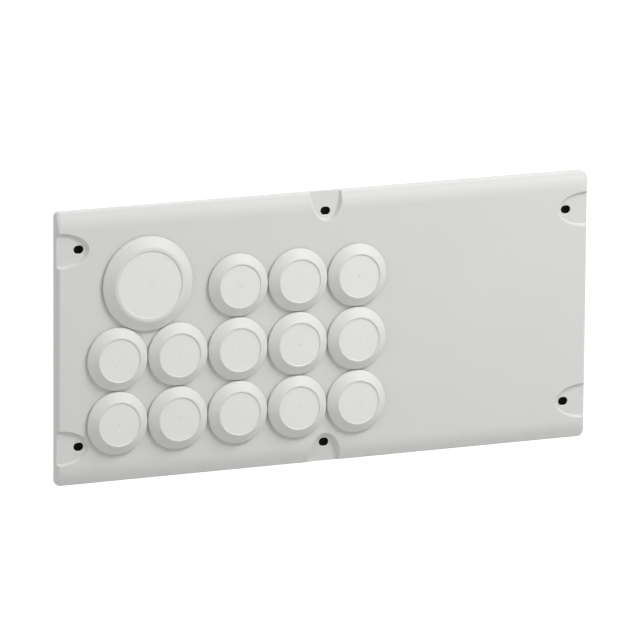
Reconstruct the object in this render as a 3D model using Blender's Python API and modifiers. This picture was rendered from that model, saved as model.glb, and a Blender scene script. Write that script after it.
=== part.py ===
# Cable entry plate for an enclosure opening
# A moulded plate with long edges sloped back and six half-oval screw recesses,
# fourteen snap-in membrane grommets and a soft sealing frame behind it.
# Upright as in use: +X along the length, +Z up, the front faces -Y.
# The origin is the middle of the whole part. Depths are counted from the front face, backwards.

import math

import bmesh
import bpy
from mathutils import Matrix, Vector

for old in list(bpy.data.objects):
    bpy.data.objects.remove(old, do_unlink=True)

MM = 0.001

# Fits
SEAT_GAP = 0.3 * MM                # between pieces that seat on each other
CUT_THROUGH = 1.0 * MM             # how far a cutter runs past the face it opens
WELD = 0.001 * MM                  # points closer than this are one
FLAT = 0.001                       # faces that meet at less than this angle are one

# Small membrane grommet, for a 32 mm entry
SMALL_HOLE_RADIUS = 16.3 * MM
SMALL_NECK_WALL = 2.0 * MM
SMALL_FLANGE_OVERLAP = 4.5 * MM    # flange beyond the hole
SMALL_LIP_OVERLAP = 1.3 * MM       # snap lip beyond the hole
SMALL_RIM_FROM_BORE = 1.0 * MM     # middle of the rim round the membrane, outside the bore
SMALL_RIM_LAND = 0.5 * MM          # flat width of that rim
SMALL_SIDES = 24

# Large membrane grommet, for a 50 mm entry
LARGE_HOLE_RADIUS = 25.3 * MM
LARGE_NECK_WALL = 2.6 * MM
LARGE_FLANGE_OVERLAP = 5.8 * MM
LARGE_LIP_OVERLAP = 1.3 * MM
LARGE_RIM_FROM_BORE = 0.9 * MM
LARGE_RIM_LAND = 2.1 * MM
LARGE_SIDES = 36

# Heights and depths common to both grommets
FLANGE_EDGE = 1.5 * MM             # straight height of the flange's outer edge
FLANGE_ROUND = 0.5 * MM            # bevel over that edge
RIM_HEIGHT = 6.1 * MM              # rim above the plate's face
RIM_ROUND = 0.35 * MM              # bevel on each side of the rim
MEMBRANE_SUNK = 1.7 * MM           # membrane's front below the rim
MEMBRANE_THICKNESS = 1.0 * MM
LIP_LENGTH = 3.5 * MM              # snap lip behind the panel
LIP_STRAIGHT = 0.9 * MM            # its part that is not tapered
LIP_TAPER = 2.0 * MM               # how far the tapered end draws in

# Entry layout
FLANGE_SPACING = 0.4 * MM          # between neighbouring flanges
GRID_COLUMNS = 8                   # columns that the plate's length is laid out for
ENTRY_ROWS = ((2, 3, 4), (0, 1, 2, 3, 4), (0, 1, 2, 3, 4))   # columns used in each row, top row first
LARGE_ABOVE = (0, 1)               # the two columns that the large entry sits over

# Plate
PANEL_THICKNESS = 3.0 * MM
SKIRT_WALL = 2.6 * MM
SKIRT_HEIGHT = 2.4 * MM            # skirt behind the gasket land
SKIRT_INNER_CORNER = 0.8 * MM
LAND_WIDTH = 17.4 * MM             # gasket land, inside the skirt
END_CLEARANCE = 3.2 * MM           # end column's lips to the land
BOTTOM_CLEARANCE = 1.4 * MM        # bottom row's lips to the land
TOP_CLEARANCE = 3.5 * MM           # large grommet's lip to the land
CORNER_RADIUS = 3.4 * MM
CORNER_STEPS = 4                   # flats round each corner of an outline
BEVEL_WIDTH = 8.4 * MM             # sloping band along each long edge
BEVEL_DROP = 2.9 * MM              # how far it falls back over that width
BEVEL_BLEND = 18.0 * MM            # radius where the band leaves the face
BLEND_STEPS = 4
EDGE_ROUND = 1.0 * MM              # radius where the band turns over the edge
EDGE_STEPS = 4
END_ROUND = 2.5 * MM               # fillet along the short edges
CAVITY_CORNER = 6.0 * MM

# Screw recesses and slots
RECESS_DEPTH = 3.7 * MM
RECESS_HALF_WIDTH = 11.7 * MM      # at the plate's edge, on the front face
RECESS_BEYOND_SLOT = 6.5 * MM      # slot centre to the recess's inner end
RECESS_TAPER = 0.93                # the floor's outline as a share of the mouth's
RECESS_FLOOR = 1.7 * MM            # material behind a recess, down to the gasket land
RECESS_SIDES = 40
BOSS_WALL = 2.2 * MM               # material round a recess
SLOT_LENGTH = 6.5 * MM
SLOT_WIDTH = 5.0 * MM
CORNER_SLOT_FROM_END = 15.3 * MM
CORNER_SLOT_FROM_SIDE = 25.0 * MM
MIDDLE_SLOT_FROM_SIDE = 12.8 * MM
SLOT_END_STEPS = 6

# Ribs on the back
RIB_WIDTH = 1.6 * MM
RIB_BELOW_LAND = 0.4 * MM          # the ribs' back edge lies this far short of the gasket land
RIB_ROOT = 1.0 * MM                # how far a rib runs into the panel

# Sealing gasket
GASKET_PROUD = 0.7 * MM            # past the back edge of the skirt
GASKET_SIDE_GAP = 0.4 * MM         # to the skirt

# Materials: colour, roughness, metallic
PLATE_FINISH = ((0.66, 0.66, 0.645, 1.0), 0.5, 0.0)
GROMMET_FINISH = ((0.71, 0.71, 0.69, 1.0), 0.6, 0.0)
GASKET_FINISH = ((0.012, 0.012, 0.012, 1.0), 0.8, 0.0)

# Worked out from the sizes above
small_flange = SMALL_HOLE_RADIUS + SMALL_FLANGE_OVERLAP
large_flange = LARGE_HOLE_RADIUS + LARGE_FLANGE_OVERLAP
small_lip = SMALL_HOLE_RADIUS + SMALL_LIP_OVERLAP
large_lip = LARGE_HOLE_RADIUS + LARGE_LIP_OVERLAP
pitch = 2 * small_flange + FLANGE_SPACING
band = SKIRT_WALL + LAND_WIDTH
land_depth = RECESS_DEPTH + RECESS_FLOOR
plate_depth = land_depth + SKIRT_HEIGHT
gasket_back = plate_depth + GASKET_PROUD
lip_front = PANEL_THICKNESS + SEAT_GAP
back_reach = max(gasket_back, lip_front + LIP_LENGTH)
half_length = (GRID_COLUMNS - 1) * pitch / 2 + small_lip + END_CLEARANCE + band
reach = large_flange + small_flange + FLANGE_SPACING
large_rise = math.sqrt(reach ** 2 - (pitch / 2) ** 2)   # large entry above the row that it touches
height_below = pitch + small_lip + BOTTOM_CLEARANCE + band   # bottom edge to the middle row
height_above = max(large_rise + large_lip, pitch + small_lip) + TOP_CLEARANCE + band
half_height = (height_below + height_above) / 2
middle_row = height_below - half_height
face_y = (RIM_HEIGHT - back_reach) / 2


def column_x(column):
    return (column - (GRID_COLUMNS - 1) / 2) * pitch


def row_z(row):
    return middle_row + (1 - row) * pitch


large_x = (column_x(LARGE_ABOVE[0]) + column_x(LARGE_ABOVE[1])) / 2
large_z = middle_row + large_rise


def new_collection(name):
    collection = bpy.data.collections.new(name)
    bpy.context.scene.collection.children.link(collection)
    return collection


parts = new_collection("cable_entry_plate")
cutters = new_collection("cutters")


def new_material(name, finish):
    colour, roughness, metallic = finish
    material = bpy.data.materials.new(name)
    material.use_nodes = True
    shader = material.node_tree.nodes["Principled BSDF"]
    shader.inputs["Base Color"].default_value = colour
    shader.inputs["Roughness"].default_value = roughness
    shader.inputs["Metallic"].default_value = metallic
    material.diffuse_color = colour
    return material


def add_object(name, mesh, collection, material=None):
    piece = bpy.data.objects.new(name, mesh)
    collection.objects.link(piece)
    if material:
        mesh.materials.append(material)
    return piece


def add_cutter(name, mesh):
    piece = add_object(name, mesh, cutters)
    piece.hide_render = True
    piece.display_type = 'WIRE'
    return piece


def mesh_from(bm, name):
    mesh = bpy.data.meshes.new(name)
    bmesh.ops.recalc_face_normals(bm, faces=bm.faces)
    bm.to_mesh(mesh)
    bm.free()
    return mesh


# Outlines, as lists of (x, z) that run round once

def rounded_rectangle(half_x, half_z, radius):
    points = []
    for quarter in range(4):
        corner_x = (half_x - radius) * (1 if quarter in (0, 3) else -1)
        corner_z = (half_z - radius) * (1 if quarter in (0, 1) else -1)
        for step in range(CORNER_STEPS + 1):
            angle = math.pi / 2 * (quarter + step / CORNER_STEPS)
            points.append((corner_x + radius * math.cos(angle), corner_z + radius * math.sin(angle)))
    return points


def slot_outline(length, width, steps):
    radius = width / 2
    points = []
    for end in (0, 1):
        centre = (length / 2 - radius) * (1 - 2 * end)
        for step in range(steps + 1):
            angle = math.pi * (end + step / steps - 0.5)
            points.append((centre + radius * math.cos(angle), radius * math.sin(angle)))
    return points


def extruded(name, outlines, front, back, centre=(0.0, 0.0)):
    # Flat solid between two depths; an outline inside the first one is a window through it
    curve = bpy.data.curves.new(name, 'CURVE')
    curve.dimensions = '2D'
    curve.fill_mode = 'BOTH'
    curve.extrude = (back - front) / 2
    for outline in outlines:
        spline = curve.splines.new('POLY')
        spline.points.add(len(outline) - 1)
        for point, (x, z) in zip(spline.points, outline):
            point.co = (x, z, 0.0, 1.0)
        spline.use_cyclic_u = True
    shape = bpy.data.objects.new(name, curve)
    cutters.objects.link(shape)
    shape.location = (centre[0], face_y + (front + back) / 2, centre[1])
    shape.rotation_euler = (math.pi / 2, 0.0, 0.0)
    bpy.context.view_layer.update()
    mesh = bpy.data.meshes.new_from_object(shape.evaluated_get(bpy.context.evaluated_depsgraph_get()))
    bm = bmesh.new()
    bm.from_mesh(mesh)
    bm.transform(shape.matrix_world)
    bmesh.ops.remove_doubles(bm, verts=bm.verts, dist=WELD)
    bmesh.ops.dissolve_limit(bm, angle_limit=FLAT, verts=bm.verts, edges=bm.edges)
    bpy.data.meshes.remove(mesh)
    bpy.data.objects.remove(shape)
    bpy.data.curves.remove(curve)
    return mesh_from(bm, name)


def loft(name, sections):
    # Solid through outlines with the same number of points; a section is (depth, outline)
    bm = bmesh.new()
    loops = []
    for depth, outline in sections:
        loops.append([bm.verts.new((x, face_y + depth, z)) for x, z in outline])
    for front, back in zip(loops, loops[1:]):
        for index in range(len(front)):
            following = (index + 1) % len(front)
            bm.faces.new((front[index], front[following], back[following], back[index]))
    bm.faces.new(loops[0])
    bm.faces.new(reversed(loops[-1]))
    return mesh_from(bm, name)


def box(name, low, high):
    bm = bmesh.new()
    centre = [(a + b) / 2 for a, b in zip(low, high)]
    size = [b - a for a, b in zip(low, high)]
    bmesh.ops.create_cube(bm, size=1.0, matrix=Matrix.LocRotScale(Vector(centre), None, Vector(size)))
    return mesh_from(bm, name)


def oval(name, halves, sides, centre, front, back, taper=1.0):
    # Round or oval solid; its back outline is its front one times the taper
    bm = bmesh.new()
    turn = Matrix.Rotation(math.pi / 2, 4, 'X')
    spread = Matrix.Diagonal((halves[0], 1.0, halves[1], 1.0))
    place = Matrix.Translation((centre[0], face_y + (front + back) / 2, centre[1]))
    bmesh.ops.create_cone(bm, cap_ends=True, segments=sides, radius1=taper, radius2=1.0,
                          depth=back - front, matrix=place @ spread @ turn)
    return mesh_from(bm, name)


def boolean(target, tool, operation='DIFFERENCE'):
    modifier = target.modifiers.new(tool.name, 'BOOLEAN')
    modifier.operation = operation
    modifier.solver = 'EXACT'
    modifier.object = tool


def joined(name, pieces):
    # One cutter from several that do not touch
    bm = bmesh.new()
    for piece in pieces:
        bm.from_mesh(piece)
        bpy.data.meshes.remove(piece)
    return add_cutter(name, mesh_from(bm, name))


# Entry plate

def arc(centre, radius, first, last, steps):
    # Points on an arc whose surface is tilted by the given angles from the face, as (distance in, depth)
    tilts = [first + (last - first) * step / steps for step in range(steps + 1)]
    return [(centre[0] - radius * math.sin(tilt), centre[1] - radius * math.cos(tilt)) for tilt in tilts]


def edge_profile():
    # The front towards a long edge: a wide arc into the sloping band, then a small one over the edge
    slope = math.atan2(BEVEL_DROP, BEVEL_WIDTH)
    blend_centre = (BEVEL_WIDTH + BEVEL_BLEND * math.tan(slope / 2), BEVEL_BLEND)
    edge_depth = (EDGE_ROUND + (BEVEL_WIDTH - EDGE_ROUND) * math.sin(slope)) / math.cos(slope)
    blend = arc(blend_centre, BEVEL_BLEND, 0.0, slope, BLEND_STEPS)
    return blend + arc((EDGE_ROUND, edge_depth), EDGE_ROUND, slope, math.pi / 2, EDGE_STEPS)


def end_inset(depth):
    # How far the short edge's fillet draws the outline in at a depth
    rise = max(END_ROUND - depth, 0.0)
    return END_ROUND - math.sqrt(max(END_ROUND ** 2 - rise ** 2, 0.0))


def plate_body():
    sections = []
    for from_edge, depth in edge_profile():
        outline = rounded_rectangle(half_length - end_inset(depth), half_height - from_edge, CORNER_RADIUS)
        sections.append((depth, outline))
    edge = rounded_rectangle(half_length, half_height, CORNER_RADIUS)
    sections.append((plate_depth, edge))
    return loft("entry_plate", sections)


def recess_places():
    # Centre of each recess on the plate's edge, its slot, and its half sizes in x and z
    places = []
    for side_x in (-1, 1):
        for side_z in (-1, 1):
            slot = (side_x * (half_length - CORNER_SLOT_FROM_END), side_z * (half_height - CORNER_SLOT_FROM_SIDE))
            halves = (CORNER_SLOT_FROM_END + RECESS_BEYOND_SLOT, RECESS_HALF_WIDTH)
            places.append(((side_x * half_length, slot[1]), slot, halves))
    for side_z in (-1, 1):
        slot = (0.0, side_z * (half_height - MIDDLE_SLOT_FROM_SIDE))
        halves = (RECESS_HALF_WIDTH, MIDDLE_SLOT_FROM_SIDE + RECESS_BEYOND_SLOT)
        places.append(((0.0, side_z * half_height), slot, halves))
    return places


def cavity_cutter():
    # The hollow inside the gasket land, with a boss left standing behind each recess
    outline = rounded_rectangle(half_length - band, half_height - band, CAVITY_CORNER)
    back = plate_depth + CUT_THROUGH
    cavity = add_cutter("cavity", extruded("cavity", [outline], PANEL_THICKNESS, back))
    for number, (centre, _, halves) in enumerate(recess_places()):
        around = (halves[0] + BOSS_WALL, halves[1] + BOSS_WALL)
        boss = oval("boss", around, RECESS_SIDES, centre, 0.0, back + CUT_THROUGH)
        boolean(cavity, add_cutter(f"boss_{number}", boss))
    return cavity


def channel_cutter():
    # Opens the back inside the skirt, down to the gasket land, and ends the bosses level with it
    outline = rounded_rectangle(half_length - SKIRT_WALL, half_height - SKIRT_WALL, SKIRT_INNER_CORNER)
    return add_cutter("channel", extruded("channel", [outline], land_depth, plate_depth + CUT_THROUGH))


def recess_cutter():
    recesses = []
    growth = 1 + (1 - RECESS_TAPER) / RECESS_DEPTH * CUT_THROUGH   # the mouth carried on in front of the face
    for centre, _, halves in recess_places():
        mouth = (halves[0] * growth, halves[1] * growth)
        recesses.append(oval("recess", mouth, RECESS_SIDES, centre, -CUT_THROUGH, RECESS_DEPTH,
                             RECESS_TAPER / growth))
    return joined("recesses", recesses)


def slot_cutter():
    outline = slot_outline(SLOT_LENGTH, SLOT_WIDTH, SLOT_END_STEPS)
    slots = []
    for _, slot, _ in recess_places():
        slots.append(extruded("slot", [outline], 0.0, plate_depth, slot))
    return joined("slots", slots)


def entry_places():
    # Name, centre and whether large, for every entry
    places = [("grommet_large", large_x, large_z, True)]
    for row, columns in enumerate(ENTRY_ROWS):
        for column in columns:
            name = f"grommet_small_row{row + 1}_col{column + 1}"
            places.append((name, column_x(column), row_z(row), False))
    return places


def hole_cutter():
    holes = []
    for _, x, z, large in entry_places():
        radius = LARGE_HOLE_RADIUS if large else SMALL_HOLE_RADIUS
        sides = LARGE_SIDES if large else SMALL_SIDES
        holes.append(oval("hole", (radius, radius), sides, (x, z), -CUT_THROUGH, plate_depth))
    return joined("holes", holes)


def rib(name, x0, x1, z0, z1):
    # Runs a little into the panel so that it is one with it
    low = (x0, face_y + PANEL_THICKNESS - RIB_ROOT, z0)
    high = (x1, face_y + land_depth - RIB_BELOW_LAND, z1)
    return add_cutter(name, box(name, low, high))


def rib_grid():
    # Between the columns and rows of entries, and wider apart behind the blank end; they end inside the land
    half = RIB_WIDTH / 2
    end = SKIRT_WALL + LAND_WIDTH / 2
    edge_x = half_length - end
    edge_z = half_height - end
    last_column = max(columns[-1] for columns in ENTRY_ROWS)
    blank_from = (column_x(last_column) + column_x(last_column + 1)) / 2
    right_of_large = (column_x(LARGE_ABOVE[1]) + column_x(LARGE_ABOVE[1] + 1)) / 2
    ribs = []
    for x0, x1, z in (
        (right_of_large, blank_from, (row_z(0) + row_z(1)) / 2),
        (-edge_x, blank_from, (row_z(1) + row_z(2)) / 2),
        (blank_from, edge_x, row_z(1)),
    ):
        ribs.append(rib("level_rib", x0, x1, z - half, z + half))
    for column in range(GRID_COLUMNS - 1):
        x = (column_x(column) + column_x(column + 1)) / 2
        top = row_z(1) if column in LARGE_ABOVE[:1] else edge_z
        ribs.append(rib("upright_rib", x - half, x + half, -edge_z, top))
    for other in ribs[1:]:
        boolean(ribs[0], other, 'UNION')
    return ribs[0]


def make_plate():
    plate = add_object("entry_plate", plate_body(), parts, new_material("light_grey_plastic", PLATE_FINISH))
    boolean(plate, cavity_cutter())
    boolean(plate, channel_cutter())
    boolean(plate, rib_grid(), 'UNION')
    boolean(plate, recess_cutter())
    boolean(plate, slot_cutter())
    boolean(plate, hole_cutter())
    return plate


# Grommets

def grommet_profile(hole, flange, lip, neck_wall, rim_from_bore, rim_land):
    # (radius, height in front of the face), from the membrane's middle round the outside to its back
    neck = hole - SEAT_GAP
    bore = neck - neck_wall
    crest_in = bore + rim_from_bore - rim_land / 2
    crest_out = crest_in + rim_land
    behind = -lip_front
    tail = behind - LIP_LENGTH
    membrane = RIM_HEIGHT - MEMBRANE_SUNK
    membrane_back = membrane - MEMBRANE_THICKNESS
    return [
        (0.0, membrane),
        (crest_in - RIM_ROUND, membrane),
        (crest_in - RIM_ROUND, RIM_HEIGHT - RIM_ROUND),
        (crest_in, RIM_HEIGHT),
        (crest_out, RIM_HEIGHT),
        (crest_out + RIM_ROUND, RIM_HEIGHT - RIM_ROUND),
        (flange - FLANGE_ROUND, SEAT_GAP + FLANGE_EDGE + FLANGE_ROUND),
        (flange, SEAT_GAP + FLANGE_EDGE),
        (flange, SEAT_GAP),
        (neck, SEAT_GAP),
        (neck, behind),
        (lip, behind),
        (lip, behind - LIP_STRAIGHT),
        (lip - LIP_TAPER, tail),
        (bore, tail),
        (bore, membrane_back),
        (0.0, membrane_back),
    ]


def profile_mesh(name, points):
    mesh = bpy.data.meshes.new(name)
    edges = [(index, index + 1) for index in range(len(points) - 1)]
    mesh.from_pydata([(radius, 0.0, height) for radius, height in points], edges, [])
    return mesh


def add_grommet(name, mesh, sides, x, z):
    grommet = bpy.data.objects.new(name, mesh)
    parts.objects.link(grommet)
    grommet.location = (x, face_y, z)
    grommet.rotation_euler = (math.pi / 2, 0.0, 0.0)
    turned = grommet.modifiers.new("turned", 'SCREW')
    turned.axis = 'Z'
    turned.angle = 2 * math.pi
    turned.steps = sides
    turned.render_steps = sides
    turned.use_merge_vertices = True
    turned.merge_threshold = WELD
    turned.use_smooth_shade = True
    return grommet


def make_grommets():
    small = profile_mesh("grommet_small", grommet_profile(
        SMALL_HOLE_RADIUS, small_flange, small_lip, SMALL_NECK_WALL, SMALL_RIM_FROM_BORE, SMALL_RIM_LAND))
    large = profile_mesh("grommet_large", grommet_profile(
        LARGE_HOLE_RADIUS, large_flange, large_lip, LARGE_NECK_WALL, LARGE_RIM_FROM_BORE, LARGE_RIM_LAND))
    soft = new_material("soft_grey_elastomer", GROMMET_FINISH)
    small.materials.append(soft)
    large.materials.append(soft)
    for name, x, z, is_large in entry_places():
        if is_large:
            add_grommet(name, large, LARGE_SIDES, x, z)
        else:
            add_grommet(name, small, SMALL_SIDES, x, z)


# Sealing gasket

def make_gasket():
    # A closed-cell strip frame, left whole behind the slots: the screws pierce it on fitting
    front = land_depth + SEAT_GAP
    edge = SKIRT_WALL + GASKET_SIDE_GAP
    outer = rounded_rectangle(half_length - edge, half_height - edge, CORNER_RADIUS)
    inner = rounded_rectangle(half_length - band, half_height - band, CAVITY_CORNER)
    strip = extruded("sealing_gasket", [outer, inner], front, gasket_back)
    add_object("sealing_gasket", strip, parts, new_material("black_rubber", GASKET_FINISH))


make_plate()
make_grommets()
make_gasket()
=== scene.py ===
# Cable entry plate: a moulded plate with membrane grommets and a sealing frame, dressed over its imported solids.
# Shapes are laid out in millimetres, in the part's own frame, and each mesh is turned to metres as it is finished.

import math

import bmesh
import bpy
from mathutils import Matrix, Vector


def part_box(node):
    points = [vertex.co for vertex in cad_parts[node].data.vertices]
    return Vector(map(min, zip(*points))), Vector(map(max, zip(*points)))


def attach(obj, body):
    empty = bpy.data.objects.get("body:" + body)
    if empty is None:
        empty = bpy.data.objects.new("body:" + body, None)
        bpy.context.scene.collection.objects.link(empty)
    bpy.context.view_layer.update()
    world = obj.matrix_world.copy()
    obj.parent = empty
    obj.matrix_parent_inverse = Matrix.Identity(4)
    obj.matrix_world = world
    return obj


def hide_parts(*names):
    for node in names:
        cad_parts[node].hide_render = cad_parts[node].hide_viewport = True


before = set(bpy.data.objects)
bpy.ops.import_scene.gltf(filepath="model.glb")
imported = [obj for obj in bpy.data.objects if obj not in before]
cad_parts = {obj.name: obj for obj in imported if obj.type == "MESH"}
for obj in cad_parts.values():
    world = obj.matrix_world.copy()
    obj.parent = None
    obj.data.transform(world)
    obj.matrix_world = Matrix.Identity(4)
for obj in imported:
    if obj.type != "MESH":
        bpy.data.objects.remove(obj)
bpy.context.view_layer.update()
perMetre = 1000.0
print("frame loaded:", len(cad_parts), "solids")


def boxInMm(node):
    low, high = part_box(node)
    return low * perMetre, high * perMetre


plateLow, plateHigh = boxInMm("entry_plate")
faceY = plateLow.y          # the plate's front face, depths are counted from it backwards


# Outlines and sections

def roundedRectangle(halfX, halfZ, radius, steps):
    points = []
    for quarter in range(4):
        cornerX = (halfX - radius) * (1 if quarter in (0, 3) else -1)
        cornerZ = (halfZ - radius) * (1 if quarter in (0, 1) else -1)
        for step in range(steps + 1):
            angle = math.pi / 2 * (quarter + step / steps)
            points.append((cornerX + radius * math.cos(angle), cornerZ + radius * math.sin(angle)))
    return points


def ellipse(halfX, halfZ, sides):
    angles = [2 * math.pi * side / sides for side in range(sides)]
    return [(halfX * math.cos(angle), halfZ * math.sin(angle)) for angle in angles]


def slotOutline(length, width, steps):
    radius = width / 2
    points = []
    for end in (0, 1):
        centre = (length / 2 - radius) * (1 - 2 * end)
        for step in range(steps + 1):
            angle = math.pi * (end + step / steps - 0.5)
            points.append((centre + radius * math.cos(angle), radius * math.sin(angle)))
    return points


def filleted(corners, steps):
    # A polyline with its inner corners rounded, each corner is (across, up, radius)
    points = [Vector(corners[0][:2])]
    for before, corner, after in zip(corners, corners[1:], corners[2:]):
        here = Vector(corner[:2])
        back = Vector(before[:2]) - here
        on = Vector(after[:2]) - here
        if corner[2] == 0:
            points.append(here)
            continue
        half = back.angle(on) / 2
        reach = min(corner[2] / math.tan(half), 0.49 * back.length, 0.49 * on.length)
        radius = reach * math.tan(half)
        middle = here + (back.normalized() + on.normalized()).normalized() * (radius / math.sin(half))
        start = here + back.normalized() * reach - middle
        end = here + on.normalized() * reach - middle
        turn = math.atan2(start.x * end.y - start.y * end.x, start.dot(end))
        for step in range(steps + 1):
            points.append(middle + Matrix.Rotation(turn * step / steps, 2) @ start)
    points.append(Vector(corners[-1][:2]))
    return points


def loftMesh(loops, closed=False):
    # Faces between loops of equal length, capped at both ends unless the loops run round to the first
    bm = bmesh.new()
    rings = [[bm.verts.new(point) for point in loop] for loop in loops]
    pairs = list(zip(rings, rings[1:]))
    if closed:
        pairs.append((rings[-1], rings[0]))
    for front, back in pairs:
        for index in range(len(front)):
            after = (index + 1) % len(front)
            bm.faces.new((front[index], front[after], back[after], back[index]))
    if not closed:
        bm.faces.new(rings[0])
        bm.faces.new(reversed(rings[-1]))
    bmesh.ops.recalc_face_normals(bm, faces=bm.faces)
    return bm


def stacked(sections, centre=(0.0, 0.0)):
    # Solid through outlines at depths behind the face, a section is (depth, outline)
    return loftMesh([[(centre[0] + x, faceY + depth, centre[1] + z) for x, z in outline]
                     for depth, outline in sections])


def toObject(bm, name):
    mesh = bpy.data.meshes.new(name)
    bm.to_mesh(mesh)
    bm.free()
    piece = bpy.data.objects.new(name, mesh)
    bpy.context.scene.collection.objects.link(piece)
    return piece


def merged(solids, name):
    # One tool from solids that do not touch
    together = bmesh.new()
    for solid in solids:
        part = bpy.data.meshes.new(name)
        solid.to_mesh(part)
        solid.free()
        together.from_mesh(part)
        bpy.data.meshes.remove(part)
    return toObject(together, name)


def applyTools(piece, tools):
    # Cuts or joins each tool, a tool is (object, operation), then bakes the result and drops the tools
    for tool, operation in tools:
        step = piece.modifiers.new(tool.name, "BOOLEAN")
        step.operation = operation
        step.solver = "EXACT"
        step.object = tool
    bpy.context.view_layer.update()
    result = bpy.data.meshes.new_from_object(piece.evaluated_get(bpy.context.evaluated_depsgraph_get()))
    piece.modifiers.clear()
    piece.data = result
    for tool, operation in tools:
        bpy.data.objects.remove(tool, do_unlink=True)
    return piece


def dress(piece, material, node, sharpDegrees):
    # Metres, smooth shading with true edges, and the piece's place in the assembly
    piece.data.transform(Matrix.Scale(1 / perMetre, 4))
    piece.data.materials.clear()
    piece.data.materials.append(material)
    piece.data.shade_smooth()
    piece.data.set_sharp_from_angle(angle=math.radians(sharpDegrees))
    weighted = piece.modifiers.new("evenShading", "WEIGHTED_NORMAL")
    weighted.keep_sharp = True
    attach(piece, "root")
    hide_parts(node)
    return piece


# Materials

def toLinear(hexColour):
    channels = [int(hexColour[start:start + 2], 16) / 255 for start in (1, 3, 5)]
    linear = [value / 12.92 if value <= 0.04045 else ((value + 0.055) / 1.055) ** 2.4 for value in channels]
    return (*linear, 1.0)


def addNode(tree, kind, inputs=None, **settings):
    node = tree.nodes.new(kind)
    for name, value in settings.items():
        setattr(node, name, value)
    for name, value in (inputs or {}).items():
        if isinstance(value, bpy.types.NodeSocket):
            tree.links.new(value, node.inputs[name])
        else:
            node.inputs[name].default_value = value
    return node


def newMaterial(name):
    material = bpy.data.materials.new(name)
    material.use_nodes = True
    tree = material.node_tree
    tree.nodes.clear()
    return material, tree


def grainSize(millimetres):
    return perMetre / millimetres       # a noise scale whose features are about this wide


plasticFinish = {
    "driftWidth": 70.0,         # how far one tone runs before it turns into the other
    "driftDetail": 3.0,
    "grainDetail": 2.0,
    "grainRoughness": 0.6,
    "grainLow": 0.3,            # the grain's values that take the smoother and the rougher sheen
    "grainHigh": 0.7,
    "pitDetail": 1.0,
}


def finishPlastic(tree, colours, roughness, shader, grain, pits):
    # Two close tones drift over the piece, a fine grain from the mould breaks up the sheen
    finish = plasticFinish
    place = addNode(tree, "ShaderNodeTexCoord").outputs["Object"]
    drift = addNode(tree, "ShaderNodeTexNoise", {
        "Vector": place, "Scale": grainSize(finish["driftWidth"]), "Detail": finish["driftDetail"]})
    tone = addNode(tree, "ShaderNodeMix", {"Factor": drift.outputs["Fac"]}, data_type="RGBA")
    tone.inputs[6].default_value = toLinear(colours[0])
    tone.inputs[7].default_value = toLinear(colours[1])
    fine = addNode(tree, "ShaderNodeTexNoise", {
        "Vector": place, "Scale": grainSize(grain["width"]), "Detail": finish["grainDetail"],
        "Roughness": finish["grainRoughness"]})
    gloss = addNode(tree, "ShaderNodeMapRange", {
        "Value": fine.outputs["Fac"], "From Min": finish["grainLow"], "From Max": finish["grainHigh"],
        "To Min": roughness[0], "To Max": roughness[1]})
    coarse = addNode(tree, "ShaderNodeTexNoise", {
        "Vector": place, "Scale": grainSize(pits["width"]), "Detail": finish["pitDetail"]})
    wave = addNode(tree, "ShaderNodeBump", {
        "Height": coarse.outputs["Fac"], "Distance": pits["depth"] / perMetre, "Strength": 1.0})
    bump = addNode(tree, "ShaderNodeBump", {
        "Height": fine.outputs["Fac"], "Distance": grain["depth"] / perMetre, "Strength": 1.0,
        "Normal": wave.outputs["Normal"]})
    surface = addNode(tree, "ShaderNodeBsdfPrincipled", {
        "Base Color": tone.outputs[2], "Roughness": gloss.outputs["Result"], "Normal": bump.outputs["Normal"],
        **shader})
    addNode(tree, "ShaderNodeOutputMaterial", {"Surface": surface.outputs["BSDF"]})


def mouldedPolycarbonate():
    # Light grey polycarbonate blend, moulded in a spark-eroded tool: an even satin face with a very fine grain,
    # drawn coarser than the real 0.1 mm
    material, tree = newMaterial("mouldedPolycarbonate")
    finishPlastic(tree, ("#d3d3d0", "#d6d6d4"), (0.46, 0.54), {"IOR": 1.58},
                  {"width": 0.7, "depth": 0.008}, {"width": 9.0, "depth": 0.02})
    return material


elastomerSheen = {"IOR": 1.49, "Sheen Weight": 0.05, "Sheen Roughness": 0.5}


def thermoplasticElastomer():
    # Grey thermoplastic elastomer, moulded and a little soft: paler than the plate, silky, without a hard highlight
    material, tree = newMaterial("thermoplasticElastomer")
    finishPlastic(tree, ("#d8d8d5", "#dbdbd8"), (0.52, 0.6), elastomerSheen,
                  {"width": 0.9, "depth": 0.006}, {"width": 6.0, "depth": 0.02})
    return material


def thinElastomerSkin():
    # The same elastomer in a paler colour on the thin membrane: painted light, standing in for light through the skin,
    # which this shader does not let through; its sheen is a little smoother
    material, tree = newMaterial("thinElastomerSkin")
    finishPlastic(tree, ("#e4e4e1", "#e7e7e4"), (0.48, 0.56), elastomerSheen,
                  {"width": 0.9, "depth": 0.005}, {"width": 8.0, "depth": 0.03})
    return material


sponge = {
    "colours": ("#0d0d0d", "#161615"),
    "cellWidth": 0.8,
    "cellDepth": 0.08,
    "dustWidth": 12.0,
    "dustDetail": 4.0,
    "shader": {"Roughness": 0.85, "IOR": 1.48, "Specular IOR Level": 0.2},
}


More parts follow.
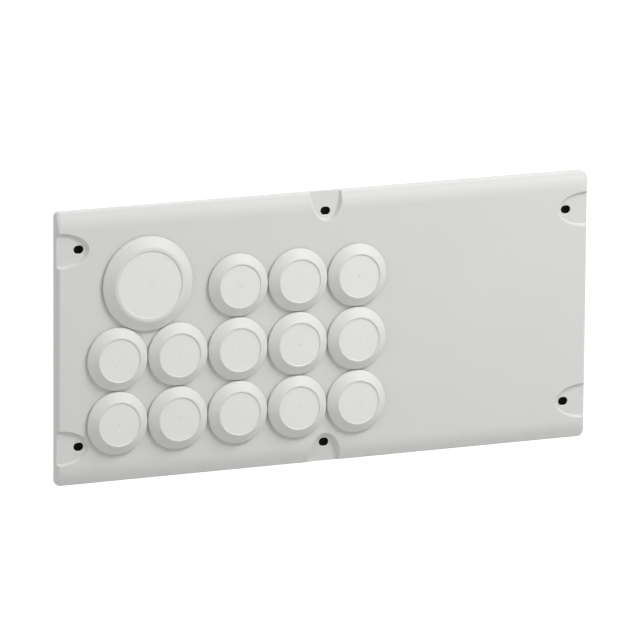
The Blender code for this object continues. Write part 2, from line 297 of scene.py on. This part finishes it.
def closedCellRubber():
    # Black closed-cell EPDM sponge, cut from sheet: dull, with small cut cells over it
    material, tree = newMaterial("closedCellRubber")
    place = addNode(tree, "ShaderNodeTexCoord").outputs["Object"]
    cells = addNode(tree, "ShaderNodeTexVoronoi", {"Vector": place, "Scale": grainSize(sponge["cellWidth"])})
    dust = addNode(tree, "ShaderNodeTexNoise", {
        "Vector": place, "Scale": grainSize(sponge["dustWidth"]), "Detail": sponge["dustDetail"]})
    tone = addNode(tree, "ShaderNodeMix", {"Factor": dust.outputs["Fac"]}, data_type="RGBA")
    tone.inputs[6].default_value = toLinear(sponge["colours"][0])
    tone.inputs[7].default_value = toLinear(sponge["colours"][1])
    bump = addNode(tree, "ShaderNodeBump", {
        "Height": cells.outputs["Distance"], "Distance": sponge["cellDepth"] / perMetre, "Strength": 1.0})
    surface = addNode(tree, "ShaderNodeBsdfPrincipled", {
        "Base Color": tone.outputs[2], "Normal": bump.outputs["Normal"], **sponge["shader"]})
    addNode(tree, "ShaderNodeOutputMaterial", {"Surface": surface.outputs["BSDF"]})
    return material


plateFinish = mouldedPolycarbonate()
grommetFinish = thermoplasticElastomer()
# painted light: a paler copy of the elastomer for the membranes
paintedLightSkinFinish = thinElastomerSkin()
sealFinish = closedCellRubber()
print("materials ready")


# Camera, at the photograph's angle: left of the plate and a little above

camera = {
    "azimuth": -24.2,           # degrees round from straight in front
    "elevation": 12.3,
    "roll": 0.43,
    "distance": 4718.0,         # from the middle of the plate's face
    "lens": 409.5,
    "sensorWidth": 36.0,
    "clipEnd": 50.0,            # metres
    "lookRight": -4.1,          # the picture's centre, seen from the middle of the face
    "lookUp": 5.1,
}


def placeCamera():
    turn = math.radians(camera["azimuth"])
    rise = math.radians(camera["elevation"])
    roll = math.radians(camera["roll"])
    towards = Vector((math.sin(turn) * math.cos(rise), -math.cos(turn) * math.cos(rise), math.sin(rise)))
    right = Vector((math.cos(turn), math.sin(turn), 0.0))
    up = towards.cross(right)
    target = Vector((0.0, faceY, 0.0)) + right * camera["lookRight"] + up * camera["lookUp"]
    axisX = right * math.cos(roll) + up * math.sin(roll)
    axisY = up * math.cos(roll) - right * math.sin(roll)
    lens = bpy.data.cameras.new("photoCamera")
    lens.sensor_fit = "HORIZONTAL"
    lens.sensor_width = camera["sensorWidth"]
    lens.lens = camera["lens"]
    lens.clip_end = camera["clipEnd"]
    viewer = bpy.data.objects.new("photoCamera", lens)
    bpy.context.scene.collection.objects.link(viewer)
    place = (target + towards * camera["distance"]) / perMetre
    viewer.matrix_world = Matrix((axisX, axisY, towards)).transposed().to_4x4()
    viewer.location = place
    bpy.context.scene.camera = viewer


placeCamera()


# Entry plate

plate = {
    "panel": 3.0,
    "landDepth": 5.4,           # the sealing frame's seat, behind the face
    "skirtWall": 2.6,
    "skirtCorner": 0.8,
    "landWidth": 17.4,
    "cavityCorner": 6.0,
    "cavityRound": 0.8,         # fillet where the cavity's wall meets the panel
    "cavitySteps": 5,
    "corner": 3.4,
    "cornerSteps": 10,
    "bevelWidth": 8.4,          # sloping band along each long edge
    "bevelDrop": 2.9,
    "bevelBlend": 24.0,         # radius where the band leaves the face
    "edgeRound": 1.4,           # radius where it meets the edge
    "bevelSteps": 12,
    "straightParts": 6,         # of the band between its two arcs
    "endRound": 2.5,            # fillet along the short edges
    "backRound": 0.5,
    "backSteps": 4,
    "ribWidth": 1.6,
    "ribShort": 0.4,            # ribs end this far below the land
    "ribRoot": 1.0,
    "ribRound": 0.35,
    "ribSteps": 3,
    "holeClearance": 0.3,       # round the grommets' necks
    "sharpDegrees": 28,
}

recess = {
    "depth": 2.1,
    "middleFall": 2.1,          # the middle ones' floors fall by this much towards the long edge
    "halfWidth": 11.7,
    "beyondSlot": 6.5,
    "wallSlope": 0.6,           # across for each millimetre down
    "mouthSlope": 0.2,          # the same for the mouth, where the plate's surface falls away
    "rimRound": 0.4,
    "rimReach": 2.0,            # face beyond the rim and floor beyond the foot that the fillets are drawn to
    "rimFlare": 0.35,           # the rim runs out by this and rises by the next, so that it ends in the face
    "rimRise": 0.03,
    "floorRound": 0.6,
    "leastWall": 0.5,           # wall left under the rim where the surface turns over the edge
    "roundSteps": 6,
    "sides": 128,
    "bossWall": 2.2,
    "bossDraft": 0.4,
    "slotLength": 6.8,
    "slotWidth": 5.3,
    "slotChamfer": 0.3,
    "slotFlare": 1.2,           # added to each side of a slot on its way to the land
    "slotSteps": 12,
    "cornerFromEnd": 15.3,
    "cornerFromSide": 25.0,
    "middleFromSide": 12.8,
}

halfLength = plateHigh.x
halfHeight = plateHigh.z
plateDepth = plateHigh.y - faceY
band = plate["skirtWall"] + plate["landWidth"]
cutThrough = 1.0


def edgeProfile():
    # The front surface towards a long edge, as (distance from the edge, depth): a band that leaves the face in a
    # wide arc and turns over the edge in a small one
    slope = math.atan2(plate["bevelDrop"], plate["bevelWidth"])
    blend, edge, steps = plate["bevelBlend"], plate["edgeRound"], plate["bevelSteps"]
    blendCentre = Vector((plate["bevelWidth"] + blend * math.tan(slope / 2), blend))
    edgeCentre = Vector((edge, (edge + (plate["bevelWidth"] - edge) * math.sin(slope)) / math.cos(slope)))
    arcs = [(blendCentre, blend, 0.0, slope), (edgeCentre, edge, slope, math.pi / 2)]
    points = []
    for centre, radius, first, last in arcs:
        for step in range(steps + 1):
            angle = first + (last - first) * step / steps
            points.append(centre - radius * Vector((math.sin(angle), math.cos(angle))))
    parts = plate["straightParts"]
    straight = [points[steps].lerp(points[steps + 1], part / parts) for part in range(1, parts)]
    return points[:steps + 1] + straight + points[steps + 1:]


edgeLine = edgeProfile()


def surfaceDepth(fromEdge):
    # Depth of the front surface at a distance from the long edge
    if fromEdge >= edgeLine[0].x:
        return 0.0
    for inner, outer in zip(edgeLine, edgeLine[1:]):
        if fromEdge >= outer.x:
            return inner.y + (outer.y - inner.y) * (inner.x - fromEdge) / (inner.x - outer.x)
    return edgeLine[-1].y


def roundInset(depth, radius):
    rise = max(radius - depth, 0.0)
    return radius - math.sqrt(max(radius ** 2 - rise ** 2, 0.0))


def plateBlank():
    sections = []
    for fromEdge, depth in edgeLine:
        inset = roundInset(depth, plate["endRound"])
        outline = roundedRectangle(halfLength - inset, halfHeight - fromEdge, plate["corner"], plate["cornerSteps"])
        sections.append((depth, outline))
    for step in range(plate["backSteps"] + 1):
        fromBack = plate["backRound"] * (1 - step / plate["backSteps"])
        inset = roundInset(fromBack, plate["backRound"])
        outline = roundedRectangle(halfLength - inset, halfHeight - inset, plate["corner"], plate["cornerSteps"])
        sections.append((plateDepth - fromBack, outline))
    return toObject(stacked(sections), "platePanel")


def recessPlaces():
    # Centre of each recess on the plate's edge, its slot, its half sizes and its floor's fall
    places = []
    for sideX in (-1, 1):
        for sideZ in (-1, 1):
            slot = (sideX * (halfLength - recess["cornerFromEnd"]), sideZ * (halfHeight - recess["cornerFromSide"]))
            halves = (recess["cornerFromEnd"] + recess["beyondSlot"], recess["halfWidth"])
            places.append(((sideX * halfLength, slot[1]), slot, halves, 0.0))
    for sideZ in (-1, 1):
        slot = (0.0, sideZ * (halfHeight - recess["middleFromSide"]))
        halves = (recess["halfWidth"], recess["middleFromSide"] + recess["beyondSlot"])
        places.append(((0.0, sideZ * halfHeight), slot, halves, recess["middleFall"]))
    return places


def floorDepth(height, halves, fall):
    # Depth of a recess's floor at a height on the plate
    return recess["depth"] + fall * (1 - (halfHeight - abs(height)) / halves[1])


def recessTool(centre, halves, fall):
    # An oval with sloped walls, a rounded rim that follows the plate's front surface and a rounded foot
    columns = []
    for cosine, sine in ellipse(1.0, 1.0, recess["sides"]):
        reach = Vector((halves[0] * cosine, halves[1] * sine))
        outwards = reach.normalized()
        height = centre[1] + reach.y
        beyond = recess["rimReach"]
        floor = floorDepth(height, halves, fall)
        surface = min(surfaceDepth(halfHeight - abs(height)), floor - recess["leastWall"])
        mouth = reach.length - recess["mouthSlope"] * surface
        draft = recess["wallSlope"] * (floor - surface)
        down = floorDepth(centre[1] + (mouth - draft) * outwards.y, halves, fall) - surface
        foot = floorDepth(centre[1] + (mouth - draft - beyond) * outwards.y, halves, fall) - surface
        wall = filleted([(-beyond, 0.0, 0.0), (0.0, 0.0, recess["rimRound"]), (draft, down, recess["floorRound"]),
                         (draft + beyond, foot, 0.0)], recess["roundSteps"])[1:]
        flare = wall[0] - Vector((recess["rimFlare"], recess["rimRise"]))
        column = [Vector((flare.x, -cutThrough - surface)), flare] + wall[1:]
        columns.append([(centre[0] + (mouth - inset) * outwards.x, faceY + surface + depth,
                         centre[1] + (mouth - inset) * outwards.y) for inset, depth in column])
    return loftMesh([list(loop) for loop in zip(*columns)])


def slotTool(place, top):
    # Chamfered from its recess's floor, at depth top, and wider towards the land
    chamfer, flare = recess["slotChamfer"], recess["slotFlare"]
    sections = []
    for depth, grow in ((top - 2 * chamfer, 3 * chamfer), (top + chamfer, 0.0), (plate["landDepth"], flare),
                        (plateDepth, flare)):
        sections.append((depth, slotOutline(recess["slotLength"] + 2 * grow, recess["slotWidth"] + 2 * grow,
                                            recess["slotSteps"])))
    return stacked(sections, place)


def cavityTool():
    # The hollow inside the land, with a fillet round its floor and a boss left standing behind each recess
    sections = []
    for step in range(plate["cavitySteps"] + 1):
        up = plate["cavityRound"] * step / plate["cavitySteps"]
        inset = roundInset(up, plate["cavityRound"])
        sections.append((plate["panel"] + up, roundedRectangle(
            halfLength - band - inset, halfHeight - band - inset,
            plate["cavityCorner"] - inset, plate["cornerSteps"])))
    sections.append((plateDepth + cutThrough, roundedRectangle(
        halfLength - band, halfHeight - band, plate["cavityCorner"], plate["cornerSteps"])))
    cavity = toObject(stacked(sections), "cavityTool")
    bosses = []
    for centre, _, halves, _ in recessPlaces():
        wide = recess["bossWall"] + recess["bossDraft"]
        bosses.append(stacked([
            (0.0, ellipse(halves[0] + wide, halves[1] + wide, recess["sides"])),
            (plate["landDepth"], ellipse(halves[0] + recess["bossWall"], halves[1] + recess["bossWall"],
                                         recess["sides"]))], centre))
    return applyTools(cavity, [(merged(bosses, "bossTool"), "DIFFERENCE")])


def channelTool():
    outline = roundedRectangle(halfLength - plate["skirtWall"], halfHeight - plate["skirtWall"],
                               plate["skirtCorner"], plate["cornerSteps"])
    return toObject(stacked([(plate["landDepth"], outline), (plateDepth + cutThrough, outline)]), "channelTool")


grommetNodes = sorted(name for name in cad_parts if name.startswith("grommet_"))


def entryCentre(node):
    # Where a grommet's axis meets the face, read from its solid
    low, high = boxInMm(node)
    middle = (low + high) / 2
    return middle.x, middle.z


def formOf(node):
    return largeGrommet if node == "grommet_large" else smallGrommet


def holeTools():
    holes = []
    for node in grommetNodes:
        form = formOf(node)
        radius = form["neck"] + plate["holeClearance"]
        outline = ellipse(radius, radius, form["sides"])
        holes.append(stacked([(-cutThrough, outline), (plateDepth, outline)], entryCentre(node)))
    return merged(holes, "holeTool")


def ribTools():
    # Between the columns and rows of entries, each rounded along its free edge
    spots = {node: entryCentre(node) for node in grommetNodes}
    rows = [spots[f"grommet_small_row{row}_col3"][1] for row in (1, 2, 3)]
    pitch = spots["grommet_small_row2_col2"][0] - spots["grommet_small_row2_col1"][0]
    firstColumn = spots["grommet_small_row2_col1"][0]
    lastColumn = -firstColumn
    reach = plate["skirtWall"] + plate["landWidth"] / 2
    endX, endZ = halfLength - reach, halfHeight - reach
    half = plate["ribWidth"] / 2
    upper, lower = (rows[0] + rows[1]) / 2, (rows[1] + rows[2]) / 2
    rightOfLarge = firstColumn + 1.5 * pitch
    blankFrom = spots["grommet_small_row2_col5"][0] + 0.5 * pitch
    runs = [(rightOfLarge, blankFrom, upper - half, upper + half), (-endX, blankFrom, lower - half, lower + half),
            (blankFrom, endX, rows[1] - half, rows[1] + half)]
    for gap in range(round((lastColumn - firstColumn) / pitch)):
        x = firstColumn + (gap + 0.5) * pitch
        runs.append((x - half, x + half, -endZ, rows[1] if gap == 0 else endZ))
    tools = []
    for number, (x0, x1, z0, z1) in enumerate(runs):
        front = faceY + plate["panel"] - plate["ribRoot"]
        back = faceY + plate["landDepth"] - plate["ribShort"]
        bm = bmesh.new()
        centre = Vector(((x0 + x1) / 2, (front + back) / 2, (z0 + z1) / 2))
        size = Vector((x1 - x0, back - front, z1 - z0))
        bmesh.ops.create_cube(bm, size=1.0, matrix=Matrix.LocRotScale(centre, None, size))
        freeEdges = [edge for edge in bm.edges if all(vert.co.y > centre.y for vert in edge.verts)]
        bmesh.ops.bevel(bm, geom=freeEdges, offset=plate["ribRound"], segments=plate["ribSteps"],
                         affect="EDGES", profile=0.5)
        tools.append((toObject(bm, f"ribTool{number}"), "UNION"))
    return tools


# Grommets: (radius, height in front of the plate's face, fillet), turned about each entry's axis

smallGrommet = {
    "neck": 16.0,
    "neckWall": 2.0,
    "lip": 17.6,
    "membraneRadius": 13.95,
    "rimOuter": 14.7,           # where the flank's line reaches the rim's height
    "shoulder": 1.8,            # fillet there
    "sides": 120,
}

largeGrommet = {
    "neck": 25.0,
    "neckWall": 2.6,
    "lip": 26.6,
    "membraneRadius": 21.9,
    "rimOuter": 24.1,
    "shoulder": 3.6,
    "sides": 168,
}

grommet = {
    "membraneHeight": 5.5,
    "membraneThickness": 1.0,
    "membraneRound": 0.2,
    "flangeSeat": 0.7,          # the flange's underside above the face
    "flangeEdge": 2.0,          # where the flank's line reaches the flange's edge
    "flangeDraft": 0.25,        # the edge leans in by this towards the front
    "flangeRound": 0.3,
    "flangeBackRound": 0.2,
    "neckRound": 0.1,
    "rimRound": 0.2,
    "rimDraft": 0.12,
    "lipFront": -3.3,
    "lipStraight": 0.9,
    "lipLength": 3.5,
    "lipTaper": 2.0,
    "lipRound": 0.25,
    "lipCrest": 0.6,            # fillet where its taper starts
    "boreRound": 0.8,
    "roundSteps": 5,
    "gateRadius": 0.55,         # moulding point in the membrane's middle
    "gateHeight": 0.3,
    "gateRound": 0.2,
    "gateDraft": 0.15,
    "gateFoot": 0.1,
    "dimpleRadius": 1.5,
    "dimpleDepth": 0.15,
    "dimpleWall": 0.3,
    "dimpleFoot": 0.2,
    "dimpleRound": 0.3,
    "weld": 0.0005,             # points on the axis closer than this are one
    # the membrane's faces, found with the next reach, take the paler copy of the elastomer, painted light
    "skinReach": 0.01,          # faces this far behind the membrane's back still belong to it
    "sharpDegrees": 50,
}


def grommetSection(form, flange, rimHeight):
    skin = grommet["membraneHeight"]
    underside = skin - grommet["membraneThickness"]
    bore = form["neck"] - form["neckWall"]
    lipBack = grommet["lipFront"] - grommet["lipLength"]
    dimple = skin - grommet["dimpleDepth"]
    gate = grommet["gateRadius"]
    corners = [
        (0.0, skin + grommet["gateHeight"], 0.0),
        (gate, skin + grommet["gateHeight"], grommet["gateRound"]),
        (gate + grommet["gateDraft"], dimple, grommet["gateFoot"]),
        (grommet["dimpleRadius"] - grommet["dimpleWall"], dimple, grommet["dimpleFoot"]),
        (grommet["dimpleRadius"], skin, grommet["dimpleRound"]),
        (form["membraneRadius"], skin, grommet["membraneRound"]),
        (form["membraneRadius"] + grommet["rimDraft"], rimHeight, grommet["rimRound"]),
        (form["rimOuter"], rimHeight, form["shoulder"]),
        (flange - grommet["flangeDraft"], grommet["flangeEdge"], grommet["flangeRound"]),
        (flange, grommet["flangeSeat"], grommet["flangeBackRound"]),
        (form["neck"], grommet["flangeSeat"], grommet["neckRound"]),
        (form["neck"], grommet["lipFront"], grommet["neckRound"]),
        (form["lip"], grommet["lipFront"], grommet["lipRound"]),
        (form["lip"], grommet["lipFront"] - grommet["lipStraight"], grommet["lipCrest"]),
        (form["lip"] - grommet["lipTaper"], lipBack, grommet["lipRound"]),
        (bore, lipBack, grommet["lipRound"]),
        (bore, underside, grommet["boreRound"]),
        (0.0, underside, 0.0),
    ]
    return filleted(corners, grommet["roundSteps"])


def turnedGrommet(node):
    form = formOf(node)
    x, z = entryCentre(node)
    low, high = boxInMm(node)
    section = grommetSection(form, (high.x - low.x) / 2, faceY - low.y)
    bm = bmesh.new()
    verts = [bm.verts.new((x + radius, faceY - height, z)) for radius, height in section]
    edges = [bm.edges.new(pair) for pair in zip(verts, verts[1:])]
    bmesh.ops.spin(bm, geom=verts + edges, cent=(x, 0.0, z), axis=(0.0, 1.0, 0.0), angle=2 * math.pi,
                   steps=form["sides"], use_duplicate=False)
    bmesh.ops.remove_doubles(bm, verts=bm.verts, dist=grommet["weld"])
    bmesh.ops.recalc_face_normals(bm, faces=bm.faces)
    return toObject(bm, "membrane" + node.removeprefix("grommet").title().replace("_", ""))


def paintMembraneLight(entry, node):
    # The membrane's own faces, front and back, take the paler finish, whose paler colour is painted light
    entry.data.materials.append(paintedLightSkinFinish)
    form = formOf(node)
    x, z = entryCentre(node)
    back = faceY - grommet["membraneHeight"] + grommet["membraneThickness"]
    for face in entry.data.polygons:
        middle = face.center * perMetre
        across = math.hypot(middle.x - x, middle.z - z)
        if across < form["membraneRadius"] and middle.y < back + grommet["skinReach"]:
            face.material_index = 1


def makePlate():
    blank = plateBlank()
    places = recessPlaces()
    recesses = merged([recessTool(centre, halves, fall) for centre, _, halves, fall in places], "recessTool")
    slots = merged([slotTool(slot, floorDepth(slot[1], halves, fall)) for _, slot, halves, fall in places], "slotTool")
    tools = [(channelTool(), "DIFFERENCE"), (cavityTool(), "DIFFERENCE")]
    tools += ribTools()
    tools += [(recesses, "DIFFERENCE"), (slots, "DIFFERENCE"), (holeTools(), "DIFFERENCE")]
    return dress(applyTools(blank, tools), plateFinish, "entry_plate", plate["sharpDegrees"])


makePlate()
print("entry plate made")
for node in grommetNodes:
    entry = dress(turnedGrommet(node), grommetFinish, node, grommet["sharpDegrees"])
    # the membranes take the paler copy of the elastomer, painted light
    paintMembraneLight(entry, node)
print("grommets made:", len(grommetNodes))


# Sealing frame

seal = {
    "outerCorner": 3.4,
    "innerCorner": 6.0,
    "edgeRound": 0.6,
    "footRound": 0.2,
    "crown": 0.15,              # the back stands a little higher along its middle
    "roundSteps": 5,
    "cornerSteps": 14,
    "sharpDegrees": 50,
}


def makeSeal():
    low, high = boxInMm("sealing_gasket")
    width = high.x - (halfLength - band)
    top = high.y - seal["crown"]
    rim = seal["edgeRound"]
    half = width / 2
    foot = seal["footRound"]
    corners = [(half, low.y, 0.0), (0.0, low.y, foot), (0.0, top, rim), (half, high.y, width), (width, top, rim),
               (width, low.y, foot), (half, low.y, 0.0)]
    section = filleted(corners, seal["roundSteps"])[:-1]
    loops = []
    for across, depth in section:
        share = across / width
        corner = seal["outerCorner"] + (seal["innerCorner"] - seal["outerCorner"]) * share
        outline = roundedRectangle(high.x - across, high.z - across, corner, seal["cornerSteps"])
        loops.append([(x, depth, z) for x, z in outline])
    frameSeal = toObject(loftMesh(loops, closed=True), "sealingFrame")
    return dress(frameSeal, sealFinish, "sealing_gasket", seal["sharpDegrees"])


makeSeal()
print("sealing frame made")


# Room: a pale floor that looks white to the camera and keeps a faint shadow, and soft studio light

room = {
    "floorHalf": 12.0,          # metres
    "floorBounce": "#cccccc",   # what the object sees
    "floorGlow": 0.88,          # what the camera sees: this, and a share of the light that falls on it
    "floorShare": "#9c9c9c",
    "fill": 0.30,
    "lamps": {
        "keyPanel": {"direction": (0.42, -0.53, 0.73), "distance": 1.7, "size": 0.8, "power": 20.8},
        "rightPanel": {"direction": (0.63, -0.53, 0.57), "distance": 2.2, "size": 1.0, "power": 2.4},
        "leftPanel": {"direction": (-0.85, -0.45, 0.30), "distance": 2.4, "size": 1.2, "power": 9.2},
        "backPanel": {"direction": (-0.90, 0.42, 0.10), "distance": 1.5, "size": 1.2, "power": 1.1},
        "topPanel": {"direction": (0.0, 0.60, 0.80), "distance": 1.5, "size": 1.0, "power": 7.0},
    },
}


def seenDirectly(tree):
    # 1 for what the camera sees, straight or mirrored, and 0 for light on its way
    path = addNode(tree, "ShaderNodeLightPath")
    direct = addNode(tree, "ShaderNodeMath", operation="MAXIMUM")
    tree.links.new(path.outputs["Is Camera Ray"], direct.inputs[0])
    tree.links.new(path.outputs["Is Glossy Ray"], direct.inputs[1])
    either = addNode(tree, "ShaderNodeMath", operation="MAXIMUM")
    tree.links.new(direct.outputs[0], either.inputs[0])
    tree.links.new(path.outputs["Is Transmission Ray"], either.inputs[1])
    return either.outputs[0]


def whiteFloor():
    material, tree = newMaterial("paleFloor")
    bounce = addNode(tree, "ShaderNodeBsdfDiffuse", {"Color": toLinear(room["floorBounce"])})
    glow = addNode(tree, "ShaderNodeEmission", {"Strength": room["floorGlow"]})
    share = addNode(tree, "ShaderNodeBsdfDiffuse", {"Color": toLinear(room["floorShare"])})
    shown = addNode(tree, "ShaderNodeAddShader")
    tree.links.new(glow.outputs[0], shown.inputs[0])
    tree.links.new(share.outputs[0], shown.inputs[1])
    mix = addNode(tree, "ShaderNodeMixShader", {"Fac": seenDirectly(tree)})
    tree.links.new(bounce.outputs[0], mix.inputs[1])
    tree.links.new(shown.outputs[0], mix.inputs[2])
    addNode(tree, "ShaderNodeOutputMaterial", {"Surface": mix.outputs[0]})
    return material


def makeFloor():
    bm = bmesh.new()
    bmesh.ops.create_grid(bm, x_segments=1, y_segments=1, size=room["floorHalf"] * perMetre)
    bmesh.ops.translate(bm, verts=bm.verts, vec=(0.0, 0.0, -halfHeight))
    floor = toObject(bm, "paleFloor")
    floor.data.transform(Matrix.Scale(1 / perMetre, 4))
    floor.data.materials.append(whiteFloor())


def makeLight(name, light):
    lamp = bpy.data.lights.new(name, "AREA")
    lamp.size = light["size"]
    lamp.energy = light["power"]
    towards = Vector(light["direction"]).normalized()
    holder = bpy.data.objects.new(name, lamp)
    bpy.context.scene.collection.objects.link(holder)
    holder.location = towards * light["distance"]
    holder.rotation_euler = towards.to_track_quat("Z", "Y").to_euler()


def makeWorld():
    world = bpy.data.worlds.new("studio")
    bpy.context.scene.world = world
    world.use_nodes = True
    tree = world.node_tree
    tree.nodes.clear()
    fill = addNode(tree, "ShaderNodeBackground", {"Color": toLinear("#ffffff"), "Strength": room["fill"]})
    white = addNode(tree, "ShaderNodeBackground", {"Color": toLinear("#ffffff"), "Strength": 1.0})
    mix = addNode(tree, "ShaderNodeMixShader", {"Fac": seenDirectly(tree)})
    tree.links.new(fill.outputs[0], mix.inputs[1])
    tree.links.new(white.outputs[0], mix.inputs[2])
    addNode(tree, "ShaderNodeOutputWorld", {"Surface": mix.outputs[0]})


makeFloor()
for name, light in room["lamps"].items():
    makeLight(name, light)
makeWorld()
bpy.context.scene.view_settings.view_transform = "Standard"
print("room lit")
